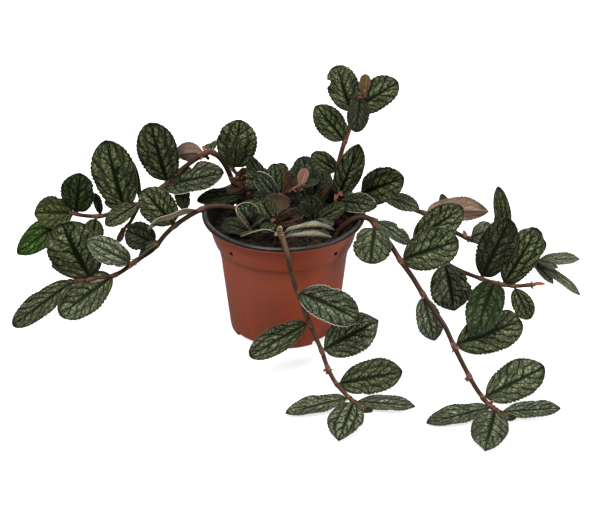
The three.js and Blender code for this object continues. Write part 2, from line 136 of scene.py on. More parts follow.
def terracotta_plastic():
    material, tree, shader, place = new_material("terracotta_plastic")
    cloud = put(tree, "TexNoise", {"Vector": place, "Scale": 22.0, "Detail": 3.0}).outputs[0]
    streak_place = put(tree, "Mapping", {"Vector": place, "Scale": (1, 1, 0.06)}).outputs[0]
    streak = put(tree, "TexNoise", {"Vector": streak_place, "Scale": 130.0, "Detail": 4.0}).outputs[0]
    grain = put(tree, "TexNoise", {"Vector": place, "Scale": 2600.0, "Detail": 2.0}).outputs[0]
    height = put(tree, "SeparateXYZ", {0: place}).outputs[2]
    colour = blend(tree, fade(tree, cloud, 0.42, 0.68), TERRACOTTA, TERRACOTTA_BRIGHT)
    # Painted shade: the terracotta gets darker towards the bottom of the wall, patchy with the streaks
    low = fade(tree, height, PAINTED_SHADE_FROM * MM, PAINTED_SHADE_MOST_AT * MM)
    painted_shade = maths(tree, "MULTIPLY", low, fade(tree, streak, 0.35, 0.75, 0.25, 0.75))
    colour = blend(tree, painted_shade, colour, TERRACOTTA_SHADE_AND_STREAK)
    colour = blend(tree, fade(tree, streak, 0.56, 0.8, 0.0, 0.35), colour, TERRACOTTA_SHADE_AND_STREAK)
    roughness = fade(tree, cloud, 0.3, 0.7, 0.36, 0.5)
    rings = put(tree, "TexWave", {"Vector": place, "Scale": 150.0, "Distortion": 1.0},
                bands_direction="Z").outputs[1]
    relief = maths(tree, "ADD", grain, maths(tree, "MULTIPLY", rings, 0.12))
    surface(tree, shader, colour, roughness, relief, 0.00005)
    shader.inputs["Specular IOR Level"].default_value = 0.35
    return material


def black_plastic():
    material, tree, shader, place = new_material("black_plastic")
    dust_and_sheen = put(tree, "TexNoise", {"Vector": place, "Scale": 420.0, "Detail": 5.0}).outputs[0]
    patch = put(tree, "TexNoise", {"Vector": place, "Scale": 45.0, "Detail": 2.0}).outputs[0]
    height = put(tree, "SeparateXYZ", {0: place}).outputs[2]
    # Painted highlight: the crest of the lip turns grey, patchy with the noise; the scattered specks are dust
    crest = fade(tree, height, LIP_HIGHLIGHT_FROM * MM, LIP_HIGHLIGHT_MOST_AT * MM)
    lip_highlight = maths(tree, "MULTIPLY", crest, fade(tree, dust_and_sheen, 0.38, 0.62, 0.45, 1.0))
    speck = maths(tree, "MULTIPLY", fade(tree, dust_and_sheen, 0.58, 0.72), fade(tree, patch, 0.4, 0.6, 0.1, 0.7))
    colour = blend(tree, maths(tree, "MAXIMUM", lip_highlight, speck), BLACK_PLASTIC, DUST_AND_HIGHLIGHT_PLASTIC)
    surface(tree, shader, colour, fade(tree, dust_and_sheen, 0.3, 0.7, 0.3, 0.48), dust_and_sheen, 0.00006)
    shader.inputs["Specular IOR Level"].default_value = 0.25
    return material


def cut(piece, cutter):
    """Cuts the shape of one object out of a piece."""
    bpy.ops.object.select_all(action="DESELECT")
    bpy.context.view_layer.objects.active = piece
    modifier = piece.modifiers.new("cut", "BOOLEAN")
    modifier.object = cutter
    modifier.solver = "EXACT"
    bpy.ops.object.modifier_apply(modifier=modifier.name)
    bpy.data.objects.remove(cutter)


bpy.ops.mesh.primitive_circle_add(vertices=POT_SIDES, radius=OUTSIDE[0][0] * MM, fill_type="NGON")
pot = bpy.context.object
pot.name = "nursery_pot"
bpy.ops.object.mode_set(mode="EDIT")
bpy.ops.mesh.select_all(action="SELECT")
outline = OUTSIDE + INSIDE
for (radius, z), (next_radius, next_z) in zip(outline, outline[1:]):
    rise = (0, 0, (next_z - z) * MM)
    bpy.ops.mesh.extrude_region_move(TRANSFORM_OT_translate={"value": rise})
    spread = next_radius / radius
    bpy.ops.transform.resize(value=(spread, spread, 1), center_override=(0, 0, next_z * MM))
bpy.ops.mesh.select_all(action="SELECT")
bpy.ops.mesh.normals_make_consistent(inside=False)
bpy.ops.object.mode_set(mode="OBJECT")
for corner in range(4):
    turn = math.radians(45 + 90 * corner)
    outward = Vector((math.cos(turn), math.sin(turn), 0))
    at = outward * COLLAR_RADIUS + Vector((0, 0, HANGER_HOLE_Z))
    bpy.ops.mesh.primitive_cylinder_add(vertices=HOLE_SIDES, radius=HANGER_HOLE_RADIUS * MM,
                                        depth=HANGER_HOLE_DEPTH * MM, location=at * MM,
                                        rotation=(0, math.pi / 2, turn))
    cut(pot, bpy.context.object)
    bpy.ops.mesh.primitive_cylinder_add(vertices=HOLE_SIDES, radius=DRAIN_RADIUS * MM,
                                        depth=DRAIN_DEPTH * MM, location=outward * DRAIN_CIRCLE * MM)
    cut(pot, bpy.context.object)
    bpy.ops.mesh.primitive_cube_add(size=MM, location=outward * FOOT_RADIUS * MM, rotation=(0, 0, turn),
                                    scale=NOTCH_SIZE)
    cut(pot, bpy.context.object)
pot.data.materials.append(terracotta_plastic())
pot.data.materials.append(black_plastic())
for face in pot.data.polygons:
    spot = face.center
    outer_side = face.normal.xy.dot(spot.xy) > 0 or face.normal.z < -0.5
    under_lip = spot.z < LIP_LOW * MM and outer_side
    face.material_index = 0 if under_lip else 1
bpy.ops.object.select_all(action="DESELECT")
pot.select_set(True)
bpy.context.view_layer.objects.active = pot
bpy.ops.object.shade_smooth_by_angle(angle=math.radians(POT_SMOOTH_ANGLE))
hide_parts("pot")
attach(pot, "root")


# Soil
# Loose dark potting mix up to 15 mm below the rim, with a bumpy top, crumbs, bark chips and a few white
# grains. It fills the cup, and the stems stand in it, without holes of their own.
SOIL_TOP = 80
SOIL_RADIUS = 51
SOIL_EDGE_RADIUS = SOIL_RADIUS + 0.4
SOIL_FLOOR = (39, 5.35)
SOIL_WALL = [(45.2, 63.5), (47.6, 71), (50.6, 76), (SOIL_RADIUS + 0.6, 79), (SOIL_EDGE_RADIUS, SOIL_TOP)]
SOIL_SIDES = 96
# Radii of the rings on top, as shares of the edge's
SOIL_RINGS = [round(0.93 - 0.07 * ring, 2) for ring in range(13)] + [0.04]
HUMP = 1.6
BUMPS = (-0.7, 0.5)
CRUMBS = 420
CRUMB_RADII = (0.5, 1.5)
CRUMB_SINK = (-0.1, 0.35)
CRUMB_STRETCH = (0.5, 1.1)
CHIP_EVERY = 9
CHIP_RADII = (1.4, 2.6)
PALE_EVERY = 60
SOIL_DARK = (0.006, 0.004, 0.003, 1)
SOIL_LIGHT = (0.036, 0.022, 0.014, 1)
GRAIN_COLOUR = (0.22, 0.20, 0.16, 1)


def potting_mix():
    material, tree, shader, place = new_material("potting_mix")
    clod_look = {"Vector": place, "Scale": 240.0, "Detail": 6.0, "Roughness": 0.7}
    clod = put(tree, "TexNoise", clod_look).outputs[0]
    fibre = put(tree, "TexVoronoi", {"Vector": place, "Scale": 700.0}).outputs[0]
    colour = blend(tree, fade(tree, clod, 0.4, 0.7), SOIL_DARK, SOIL_LIGHT)
    relief = maths(tree, "ADD", clod, maths(tree, "MULTIPLY", fibre, 0.4))
    surface(tree, shader, colour, fade(tree, clod, 0.3, 0.7, 0.8, 0.98), relief, 0.0008)
    shader.inputs["Specular IOR Level"].default_value = 0.1
    return material


def pale_grain():
    material, tree, shader, place = new_material("pale_grain")
    pore = put(tree, "TexNoise", {"Vector": place, "Scale": 1500.0, "Detail": 3.0}).outputs[0]
    colour = blend(tree, fade(tree, pore, 0.4, 0.6), GRAIN_COLOUR, SOIL_LIGHT)
    surface(tree, shader, colour, fade(tree, pore, 0.3, 0.7, 0.7, 0.9), pore, 0.0003)
    return material


draw = np.random.default_rng(7)
bpy.ops.mesh.primitive_circle_add(vertices=SOIL_SIDES, radius=SOIL_FLOOR[0] * MM, fill_type="TRIFAN",
                                  location=(0, 0, SOIL_FLOOR[1] * MM))
soil = bpy.context.object
soil.name = "potting_soil"
bpy.ops.object.mode_set(mode="EDIT")
bpy.ops.mesh.select_all(action="SELECT")
last = SOIL_FLOOR
for radius, z in SOIL_WALL:
    bpy.ops.mesh.extrude_region_move(TRANSFORM_OT_translate={"value": (0, 0, (z - last[1]) * MM)})
    bpy.ops.transform.resize(value=(radius / last[0],) * 2 + (1,), center_override=(0, 0, z * MM))
    last = (radius, z)
for share in SOIL_RINGS:
    radius = SOIL_EDGE_RADIUS * share
    bpy.ops.mesh.extrude_region_move(TRANSFORM_OT_translate={"value": (0, 0, 0)})
    bpy.ops.transform.resize(value=(radius / last[0],) * 2 + (1,), center_override=(0, 0, SOIL_TOP * MM))
    last = (radius, SOIL_TOP)
bpy.ops.object.mode_set(mode="OBJECT")
bpy.ops.object.transform_apply(location=True, rotation=True, scale=True)
for vertex in soil.data.vertices:
    if vertex.co.z > (SOIL_TOP - 0.5) * MM:
        out = vertex.co.xy.length / (SOIL_RADIUS * MM)
        vertex.co.z += (HUMP * (1 - out) + draw.uniform(*BUMPS)) * MM
crumbs = []
for number in range(CRUMBS):
    size = draw.uniform(*CRUMB_RADII) if number % CHIP_EVERY else draw.uniform(*CHIP_RADII)
    reach = (SOIL_RADIUS - 3) * math.sqrt(draw.uniform(0, 1))
    turn = draw.uniform(0, math.tau)
    z = SOIL_TOP + HUMP * (1 - reach / SOIL_RADIUS) + size * draw.uniform(*CRUMB_SINK)
    bpy.ops.mesh.primitive_ico_sphere_add(
        subdivisions=1, radius=size * MM, rotation=tuple(draw.uniform(0, math.tau, 3)),
        location=(reach * math.cos(turn) * MM, reach * math.sin(turn) * MM, z * MM),
        scale=tuple(draw.uniform(*CRUMB_STRETCH, 3)))
    crumbs.append(bpy.context.object)
soil.data.materials.append(potting_mix())
soil.data.materials.append(pale_grain())
for number, crumb in enumerate(crumbs):
    for material in soil.data.materials:
        crumb.data.materials.append(material)
    pale = int(number % PALE_EVERY == 0)
    crumb.data.polygons.foreach_set("material_index", [pale] * len(crumb.data.polygons))
    crumb.select_set(True)
soil.select_set(True)
bpy.context.view_layer.objects.active = soil
bpy.ops.object.join()
bpy.ops.object.transform_apply(location=True, rotation=True, scale=True)
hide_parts("soil")
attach(soil, "root")


# Leaves, the same for every stem
# A blade is one thin fleshy sheet with a sunken midrib, side veins and net, quilted pale patches between
# them and a scalloped edge. A flat blank is made once in each fineness, and each leaf is a bent copy of it.
STALK_LENGTH = 2.4
LONGEST_STALK_SHARE = 0.15
STALK_HALF_WIDTH = 0.75
TIP_HALF_WIDTH = 0.25
# Places go from 0 at a leaf's base to 1 at its tip, and from 0 at its midrib to 1 at its edge
WIDEST_AT = 0.56
# Slimness of base and tip: a greater one is slimmer, and one side of the base is slimmer than the other
SLIM_BASE = 0.68
FULL_BASE = 0.46
BROAD_TIP = 0.48
NARROW_TIP = 0.68
# Some kinds have more pointed tips: this is added to their slimness
POINTED = {"sage": 0.26, "pale": 0.2, "fresh": 0.15}
SCALLOP_LENGTH = 3.1
SCALLOP_DEPTH = 0.075
LEAST_SCALLOPS = 4
# The wave of the edge: its height as a share of the width, the radians in a step, and the number of steps in
# leaves up to each length
WAVE = 0.035
WAVE_PACE = 1.9
WAVE_STEPS = ((31, 4), (48, 6), (math.inf, 7))
FOLD = 0.09
CUSHION = 0.03
BLADE_THICKNESS = 0.55
SIDE_VEINS = 6
SIDE_VEIN_LEAN = 2.3
ARC_VEIN_AT = 0.5
RELIEF = 0.4
FULL_RELIEF_WIDTH = 24
LENGTH_TO_HALF_WIDTH = 3.6
NET_SCALE = 4.6
# Columns and rows of each blank, and the length above which a leaf is made from it
BLANKS = {"fine": (28, 52), "middle": (22, 36), "small": (14, 20), "tiny": (6, 8)}
BLANK_ABOVE = {"fine": 27, "middle": 15, "small": 7, "tiny": 0}
# How a curled edge rolls over the upper face
CURL_RADIUS = 1.3
CURL_TURN = 2.6
# A bitten leaf has one deep dent in its edge, and every other leaf has a shallow one by chance
DENT_DEPTH = 0.32
CHANCE_DENT_DEPTH = 0.12
CHANCE_DENT_PLACES = (0.3, 0.85)
DENT_LENGTH = 0.06
# Leaves of a kind differ a little in brightness, and each has its own net
TONES = (0.8, 1.2)
SEEDS = (0, 40)
BROWN_EDGE = (0.090, 0.060, 0.035, 1)
OWN_COLOURS = ("leaf_patch", "leaf_vein", "leaf_rim", "leaf_under")
# The lowest that a stem or the underside of a leaf goes, so that those on the ground lie on it
GROUND = 0.06
# Colours of each kind of leaf, as OWN_COLOURS lists them: patches, net, edge and underside
KINDS = {
    "mature": ((0.215, 0.242, 0.118), (0.004, 0.007, 0.001), (0.075, 0.080, 0.045), (0.250, 0.145, 0.105)),
    "soft": ((0.240, 0.270, 0.145), (0.007, 0.010, 0.003), (0.100, 0.105, 0.065), (0.280, 0.170, 0.120)),
    # This kind is the leaves' own sage green, made lighter by painted light for leaves lit from above or
    # lying in shade
    "sage": ((0.275, 0.310, 0.182), (0.007, 0.010, 0.004), (0.120, 0.125, 0.085), (0.400, 0.260, 0.190)),
    # This kind is a darker copy of the green: painted shade for leaves that sit in shade among others
    "deep": ((0.085, 0.096, 0.045), (0.004, 0.005, 0.002), (0.060, 0.062, 0.036), (0.085, 0.055, 0.033)),
    "rimmed": ((0.190, 0.215, 0.125), (0.005, 0.007, 0.002), (0.460, 0.440, 0.340), (0.300, 0.170, 0.110)),
    # This kind is the leaves' own pale green, made lighter in part by painted light for leaves lying in shade
    "pale": ((0.370, 0.415, 0.265), (0.022, 0.028, 0.014), (0.320, 0.320, 0.240), (0.400, 0.350, 0.240)),
    "light": ((0.290, 0.335, 0.215), (0.008, 0.013, 0.006), (0.540, 0.540, 0.450), (0.400, 0.360, 0.250)),
    "green": ((0.095, 0.140, 0.050), (0.004, 0.009, 0.002), (0.060, 0.085, 0.030), (0.270, 0.200, 0.110)),
    "moss": ((0.150, 0.168, 0.050), (0.009, 0.011, 0.003), (0.080, 0.080, 0.030), (0.270, 0.180, 0.100)),
    "fresh": ((0.130, 0.260, 0.040), (0.006, 0.015, 0.002), (0.050, 0.090, 0.020), (0.300, 0.260, 0.130)),
    "olive": ((0.170, 0.170, 0.080), (0.010, 0.012, 0.005), (0.300, 0.280, 0.190), (0.360, 0.310, 0.210)),
    "young": ((0.330, 0.170, 0.085), (0.070, 0.055, 0.022), (0.240, 0.130, 0.075), (0.300, 0.150, 0.090)),
    "pink": ((0.560, 0.350, 0.280), (0.260, 0.130, 0.090), (0.500, 0.310, 0.250), (0.480, 0.290, 0.230)),
    "brown": ((0.130, 0.072, 0.045), (0.045, 0.022, 0.014), (0.120, 0.066, 0.042), (0.170, 0.110, 0.070)),
    "husk": ((0.240, 0.115, 0.072), (0.130, 0.055, 0.035), (0.320, 0.170, 0.115), (0.240, 0.120, 0.080)),
    "scale": ((0.500, 0.170, 0.125), (0.300, 0.090, 0.060), (0.560, 0.300, 0.220), (0.460, 0.190, 0.130)),
    "cream": ((0.720, 0.640, 0.500), (0.500, 0.410, 0.290), (0.700, 0.620, 0.480), (0.640, 0.560, 0.420)),
}


def leaf_net():
    """A node group that draws a leaf's net: the patches, the veins between them and their relief."""
    tree = bpy.data.node_groups.new("leaf_net", "ShaderNodeTree")
    tree.interface.new_socket(name="Place", in_out="INPUT", socket_type="NodeSocketVector")
    tree.interface.new_socket(name="Seed", in_out="INPUT", socket_type="NodeSocketFloat")
    for name in ("Patch", "Vein", "Relief", "Rim"):
        tree.interface.new_socket(name=name, in_out="OUTPUT", socket_type="NodeSocketFloat")
    given = tree.nodes.new("NodeGroupInput").outputs
    made = tree.nodes.new("NodeGroupOutput").inputs
    across, along = put(tree, "SeparateXYZ", {0: given["Place"]}).outputs[:2]
    even = maths(tree, "MULTIPLY", along, LENGTH_TO_HALF_WIDTH)
    place = put(tree, "CombineXYZ", {0: across, 1: even, 2: given["Seed"]}).outputs[0]
    drift = put(tree, "TexNoise", {"Vector": place, "Scale": 1.5, "Detail": 1.0}).outputs[0]
    drift = maths(tree, "SUBTRACT", drift, 0.5)
    ragged_look = {"Vector": place, "Scale": 7.0, "Detail": 4.0, "Roughness": 0.6}
    ragged = put(tree, "TexNoise", ragged_look).outputs[0]
    ragged = maths(tree, "SUBTRACT", ragged, 0.5)
    cells = put(tree, "TexVoronoi", {"Vector": place, "Scale": NET_SCALE}, feature="DISTANCE_TO_EDGE")
    out = maths(tree, "ABSOLUTE", across)
    left = maths(tree, "LESS_THAN", across, 0.0)
    swayed = maths(tree, "MULTIPLY_ADD", drift, 0.25, out)
    count = maths(tree, "MULTIPLY_ADD", along, SIDE_VEINS, maths(tree, "MULTIPLY", out, -SIDE_VEIN_LEAN))
    count = maths(tree, "MULTIPLY_ADD", left, 0.5, count)
    count = maths(tree, "MULTIPLY_ADD", drift, 1.5, count)
    to_side = maths(tree, "MULTIPLY_ADD", ragged, 0.26, maths(tree, "PINGPONG", count, 0.5))
    side = fade(tree, to_side, 0.04, 0.26, 1, 0)
    to_arc = maths(tree, "ABSOLUTE", maths(tree, "SUBTRACT", swayed, ARC_VEIN_AT))
    own_chance = put(tree, "TexWhiteNoise", {"W": given["Seed"]}, noise_dimensions="1D").outputs[0]
    strong = fade(tree, own_chance, 0, 1, 0.5, 1)
    arc = fade(tree, maths(tree, "MULTIPLY_ADD", ragged, 0.2, to_arc), 0.03, 0.17, strong, 0)
    broad = fade(tree, along, 0.0, 1.0, 0.30, 0.12)
    to_rib = maths(tree, "DIVIDE", maths(tree, "MULTIPLY_ADD", ragged, 0.16, out), broad)
    rib = fade(tree, to_rib, 0.3, 1.0, 1, 0)
    edge = fade(tree, maths(tree, "MULTIPLY_ADD", ragged, 0.25, out), 0.80, 0.97)
    end = fade(tree, maths(tree, "MULTIPLY_ADD", ragged, 0.12, along), 0.9, 0.98)
    foot = fade(tree, along, 0.02, 0.16, 0.9, 0)
    crack = fade(tree, cells.outputs[0], 0.0, 0.2, 0.85, 0)
    vein = side
    for line in (arc, rib, edge, end, foot, crack):
        vein = maths(tree, "MAXIMUM", vein, line)
    outer = maths(tree, "GREATER_THAN", swayed, ARC_VEIN_AT)
    cell_across = maths(tree, "MULTIPLY_ADD", left, 2.0, outer)
    cell_along = maths(tree, "FLOOR", count)
    cell = put(tree, "CombineXYZ", {0: cell_along, 1: cell_across, 2: given["Seed"]}).outputs[0]
    chance = put(tree, "TexWhiteNoise", {"Vector": cell}).outputs[0]
    bright = maths(tree, "MULTIPLY", fade(tree, chance, 0, 1, 0.55, 1.0), fade(tree, outer, 0, 1, 1.0, 0.75))
    mottle = fade(tree, ragged, -0.2, 0.12, 0.45, 1.0)
    patch = maths(tree, "MULTIPLY", maths(tree, "SUBTRACT", 1.0, vein), bright)
    tree.links.new(maths(tree, "MULTIPLY", patch, mottle), made["Patch"])
    tree.links.new(vein, made["Vein"])
    relief = maths(tree, "SUBTRACT", maths(tree, "MULTIPLY", ragged, 0.8), vein)
    tree.links.new(relief, made["Relief"])
    tree.links.new(fade(tree, out, 0.955, 0.985), made["Rim"])
    return tree


def attribute(tree, name, says="Color"):
    """What an attribute of the mesh says: a Color, a Vector or, as Fac, a number."""
    return put(tree, "Attribute", attribute_name=name).outputs[says]


def leaf_face(name, net, upper):
    """The upper or the lower face of every leaf. Each leaf's own colours come with its mesh."""
    material, tree, shader, place = new_material(name)
    spot = attribute(tree, "leaf_place", "Vector")
    seed = attribute(tree, "leaf_seed", "Fac")
    drawn = tree.nodes.new("ShaderNodeGroup")
    drawn.node_tree = net
    tree.links.new(spot, drawn.inputs["Place"])
    tree.links.new(seed, drawn.inputs["Seed"])
    cloud = put(tree, "TexNoise", {"Vector": place, "Scale": 60.0, "Detail": 2.0}).outputs[0]
    grain = put(tree, "TexNoise", {"Vector": place, "Scale": 1500.0, "Detail": 2.0}).outputs[0]
    patch, vein, rim, under = (attribute(tree, own) for own in OWN_COLOURS)
    if upper:
        colour = blend(tree, drawn.outputs["Patch"], vein, patch)
        colour = blend(tree, drawn.outputs["Rim"], colour, rim)
        roughness = fade(tree, drawn.outputs["Patch"], 0.0, 0.8, 0.55, 0.45)
        shader.inputs["Specular IOR Level"].default_value = 0.08
    else:
        colour = blend(tree, fade(tree, cloud, 0.4, 0.7, 0.0, 0.5), under, vein)
        colour = blend(tree, fade(tree, drawn.outputs["Vein"], 0.2, 0.9, 0.0, 0.35), colour, vein)
        roughness = fade(tree, cloud, 0.3, 0.7, 0.5, 0.62)
        shader.inputs["Specular IOR Level"].default_value = 0.12
    relief = maths(tree, "MULTIPLY_ADD", grain, 0.25, drawn.outputs["Relief"])
    surface(tree, shader, colour, roughness, relief, 0.0004 if upper else -0.0003)
    return material


def leaf_edge():
    """The thin edge all round every leaf, in its own rim colour, with brown worn spots."""
    material, tree, shader, place = new_material("leaf_edge")
    rim = attribute(tree, "leaf_rim")
    worn = put(tree, "TexNoise", {"Vector": place, "Scale": 500.0, "Detail": 3.0}).outputs[0]
    colour = blend(tree, fade(tree, worn, 0.45, 0.7, 0.0, 0.5), rim, BROWN_EDGE)
    surface(tree, shader, colour, fade(tree, worn, 0.3, 0.7, 0.5, 0.7), worn, 0.0001)
    return material


def half_width(part, base_slimness, tip_slimness=BROAD_TIP):
    """Half-width of a leaf, as a share of its full half-width, from its base (0) to its tip (1)."""
    base = (1 - ((WIDEST_AT - np.minimum(part, WIDEST_AT)) / WIDEST_AT) ** 2) ** base_slimness
    tip = (1 - ((np.maximum(part, WIDEST_AT) - WIDEST_AT) / (1 - WIDEST_AT)) ** 2.1) ** tip_slimness
    return np.where(part < WIDEST_AT, base, tip)


def smooth(value, low, high):
    """Goes smoothly from 0 to 1 while value goes from low to high, which may be the lesser."""
    share = np.clip((value - low) / (high - low), 0, 1)
    return share * share * (3 - 2 * share)


def vein_lines(across, part):
    """How far a blade sinks at each place: 1 on the midrib, less on the side veins, 0 between them."""
    out = np.abs(across)
    count = part * SIDE_VEINS - out * SIDE_VEIN_LEAN + 0.5 * (across < 0)
    to_side = np.abs(count - np.round(count))
    side = 0.5 * smooth(to_side, 0.26, 0.0)
    arc = 0.7 * smooth(np.abs(out - ARC_VEIN_AT), 0.14, 0.0)
    rib = smooth(out, 0.2, 0.0)
    return np.maximum(np.maximum(side, arc), rib)


bpy.ops.object.select_all(action="DESELECT")
net = leaf_net()
leaf_faces = [leaf_face("leaf_upper_face", net, True), leaf_face("leaf_lower_face", net, False), leaf_edge()]
blanks = {}
for fineness, (columns, rows) in BLANKS.items():
    bpy.ops.mesh.primitive_grid_add(x_subdivisions=columns, y_subdivisions=rows, size=2)
    blank = bpy.context.object
    blank.name = "leaf_blank_" + fineness
    for face in leaf_faces:
        blank.data.materials.append(face)
    blanks[fineness] = blank
leaf_draw = np.random.default_rng(11)


def blade(base, tip, look, width, arch, kind, curl=0.0, dent=0.0):
    """A leaf from base to tip, in millimetres, whose upper face looks along look.

    Curl is how far out from the midrib its edge starts to roll over, and dent is how far along it has a deep
    bite. Above 0 they are on the leaf's own right-hand side, and below 0 on the other.
    """
    chord = tip - base
    length = np.linalg.norm(chord)
    along = chord / length
    up = look - along * (look @ along)
    up /= np.linalg.norm(up)
    side = np.cross(along, up)
    fineness = next(name for name, above in BLANK_ABOVE.items() if length > above)
    leaf = blanks[fineness].copy()
    leaf.data = blanks[fineness].data.copy()
    bpy.context.collection.objects.link(leaf)
    mesh = leaf.data
    flat = np.empty(len(mesh.vertices) * 3)
    mesh.vertices.foreach_get("co", flat)
    across = flat[0::3]
    share = (flat[1::3] + 1) / 2
    stalk = min(STALK_LENGTH / length, LONGEST_STALK_SHARE)
    part = np.clip((share - stalk) / (1 - stalk), 0, 1)
    tip_slimness = leaf_draw.uniform(BROAD_TIP, NARROW_TIP) + POINTED.get(kind, 0)
    full = half_width(part, np.where(across < 0, SLIM_BASE, FULL_BASE), tip_slimness)
    teeth = max(LEAST_SCALLOPS, round(length / SCALLOP_LENGTH))
    notch = 1 - np.abs(np.sin(math.pi * teeth * part))
    scallop = 1 - SCALLOP_DEPTH * notch ** 2 * smooth(part, 0.1, 0.3)
    depth = DENT_DEPTH if dent else leaf_draw.uniform(0, CHANCE_DENT_DEPTH)
    dent = dent or leaf_draw.uniform(*CHANCE_DENT_PLACES) * leaf_draw.choice((-1, 1))
    scallop -= depth * np.exp(-((part - abs(dent)) / DENT_LENGTH) ** 2) * (across * dent > 0)
    least = np.where(share < 0.5, min(STALK_HALF_WIDTH, width / 5), TIP_HALF_WIDTH)
    reach = np.maximum(width / 2 * full * scallop, least)
    bow = 4 * arch * share * (1 - share)
    slope = 4 * arch * (1 - 2 * share) / length
    normal = up - slope[:, None] * along
    normal /= np.linalg.norm(normal, axis=1)[:, None]
    out = np.abs(across)
    steps = next(count for longest, count in WAVE_STEPS if length <= longest)
    ripple = width * WAVE * np.sin(part * steps * WAVE_PACE + across) * out ** 2 * smooth(part, 0, 0.1)
    ripple += width * FOLD * half_width(part, 0.7) * out ** 1.4
    ripple += width * CUSHION * np.sin(math.pi * out) * full
    relief = RELIEF * min(1, width / FULL_RELIEF_WIDTH)
    ripple -= relief * vein_lines(across, part) * np.minimum(1, full * 1.5)
    outward = across * reach
    if curl:
        beyond = np.maximum(across * math.copysign(1, curl) - abs(curl), 0) * reach
        turn = np.minimum(beyond / CURL_RADIUS, CURL_TURN)
        rest = beyond - turn * CURL_RADIUS
        rolled = CURL_RADIUS * np.sin(turn) + rest * np.cos(turn)
        outward += math.copysign(1, curl) * (rolled - beyond)
        ripple += CURL_RADIUS * (1 - np.cos(turn)) + rest * np.sin(turn)
    middle = base + along * (share * length)[:, None] + up * bow[:, None]
    spots = middle + side * outward[:, None] + normal * ripple[:, None]
    spots[:, 2] = np.maximum(spots[:, 2], GROUND + BLADE_THICKNESS / 2)
    mesh.vertices.foreach_set("co", (spots * MM).ravel())
    place = np.column_stack((across, part, np.zeros_like(part)))
    mesh.attributes.new("leaf_place", "FLOAT_VECTOR", "POINT").data.foreach_set("vector", place.ravel())
    seed = np.full(len(part), leaf_draw.uniform(*SEEDS))
    mesh.attributes.new("leaf_seed", "FLOAT", "POINT").data.foreach_set("value", seed)
    tone = leaf_draw.uniform(*TONES)
    for name, colour in zip(OWN_COLOURS, KINDS[kind]):
        rgba = np.tile((*(c * tone for c in colour), 1.0), (len(part), 1))
        mesh.attributes.new(name, "FLOAT_COLOR", "POINT").data.foreach_set("color", rgba.ravel())
    return leaf


def heading_and_rise(heading, rise):
    """The direction that looks to a compass heading (0 is +X, 90 is +Y) and a rise above level."""
    level = math.cos(math.radians(rise))
    turn = math.radians(heading)
    return np.array((level * math.cos(turn), level * math.sin(turn), math.sin(math.radians(rise))))


# Stems, the same for every leafy stem
# A smooth fleshy reddish brown stem, a little thicker and pinker at each leaf, with two small dry husks there
# and a bud of two young leaves at its end. It all grew as one living piece, so it is joined into one.
STEM_FINENESS = 12
STEM_FULLNESS = 0.25
KNUCKLE = 0.28
KNUCKLE_LENGTH = 2.2
HUSK_LENGTH = 3.6
HUSK_WIDTH = 1.9
HUSK_ARCH = -0.3
# Where a husk stands, as a share of the stem's end radius, how its length goes onward along the stem and
# outward from it, and how its upper face leans up
HUSK_FOOT = 0.7
HUSK_ONWARD = 0.8
HUSK_OUTWARD = 0.6
HUSK_LEAN = 0.2
BUD_LENGTH = 5.5
BUD_WIDTH = 2.6
BUD_ARCH = 0.6
BUD_OPENING = 0.3
# A direction that no stem ends in, to set a bud's two leaves across the stem
SKEW = (0.3, 0.2, 1.0)
PLANT_SMOOTH_ANGLE = 50
# How far to each side of a leaf's place the stem's direction is read, counted along its points
ONWARD_REACH = 0.05
STEM_BROWN = (0.050, 0.024, 0.013)
STEM_RED = (0.165, 0.062, 0.042)
STEM_TAN = (0.092, 0.047, 0.026)
STEM_PINK = (0.300, 0.130, 0.085, 1)
STEM_SHADE = (0.02, 0.008, 0.006, 1)


def stem_skin():
    material, tree, shader, place = new_material("stem_skin")
    own = attribute(tree, "stem_colour")
    knuckle = attribute(tree, "stem_knuckle", "Fac")
    cloud = put(tree, "TexNoise", {"Vector": place, "Scale": 130.0, "Detail": 4.0}).outputs[0]
    fine = put(tree, "TexNoise", {"Vector": place, "Scale": 1400.0, "Detail": 3.0}).outputs[0]
    dark = blend(tree, 0.55, own, STEM_SHADE)
    colour = blend(tree, fade(tree, cloud, 0.38, 0.7), own, dark)
    tinge = maths(tree, "MULTIPLY", knuckle, fade(tree, cloud, 0.3, 0.6, 0.5, 0.9))
    colour = blend(tree, tinge, colour, STEM_PINK)
    surface(tree, shader, colour, fade(tree, fine, 0.3, 0.7, 0.4, 0.55), fine, 0.0002)
    shader.inputs["Specular IOR Level"].default_value = 0.15
    return material


stem_material = stem_skin()


def along_stem(points, at):
    """The place on a stem's curve, counted along its points."""
    index = min(int(at), len(points) - 2)
    share = at - index
    first, second = points[index], points[index + 1]
    before = points[index - 1] if index > 0 else 2 * first - second
    after = points[index + 2] if index + 2 < len(points) else 2 * second - first
    leave = (second - before) / 2
    arrive = (after - first) / 2
    cubic = 2 * first - 2 * second + leave + arrive
    square = 3 * second - 3 * first - 2 * leave - arrive
    return ((cubic * share + square) * share + leave) * share + first


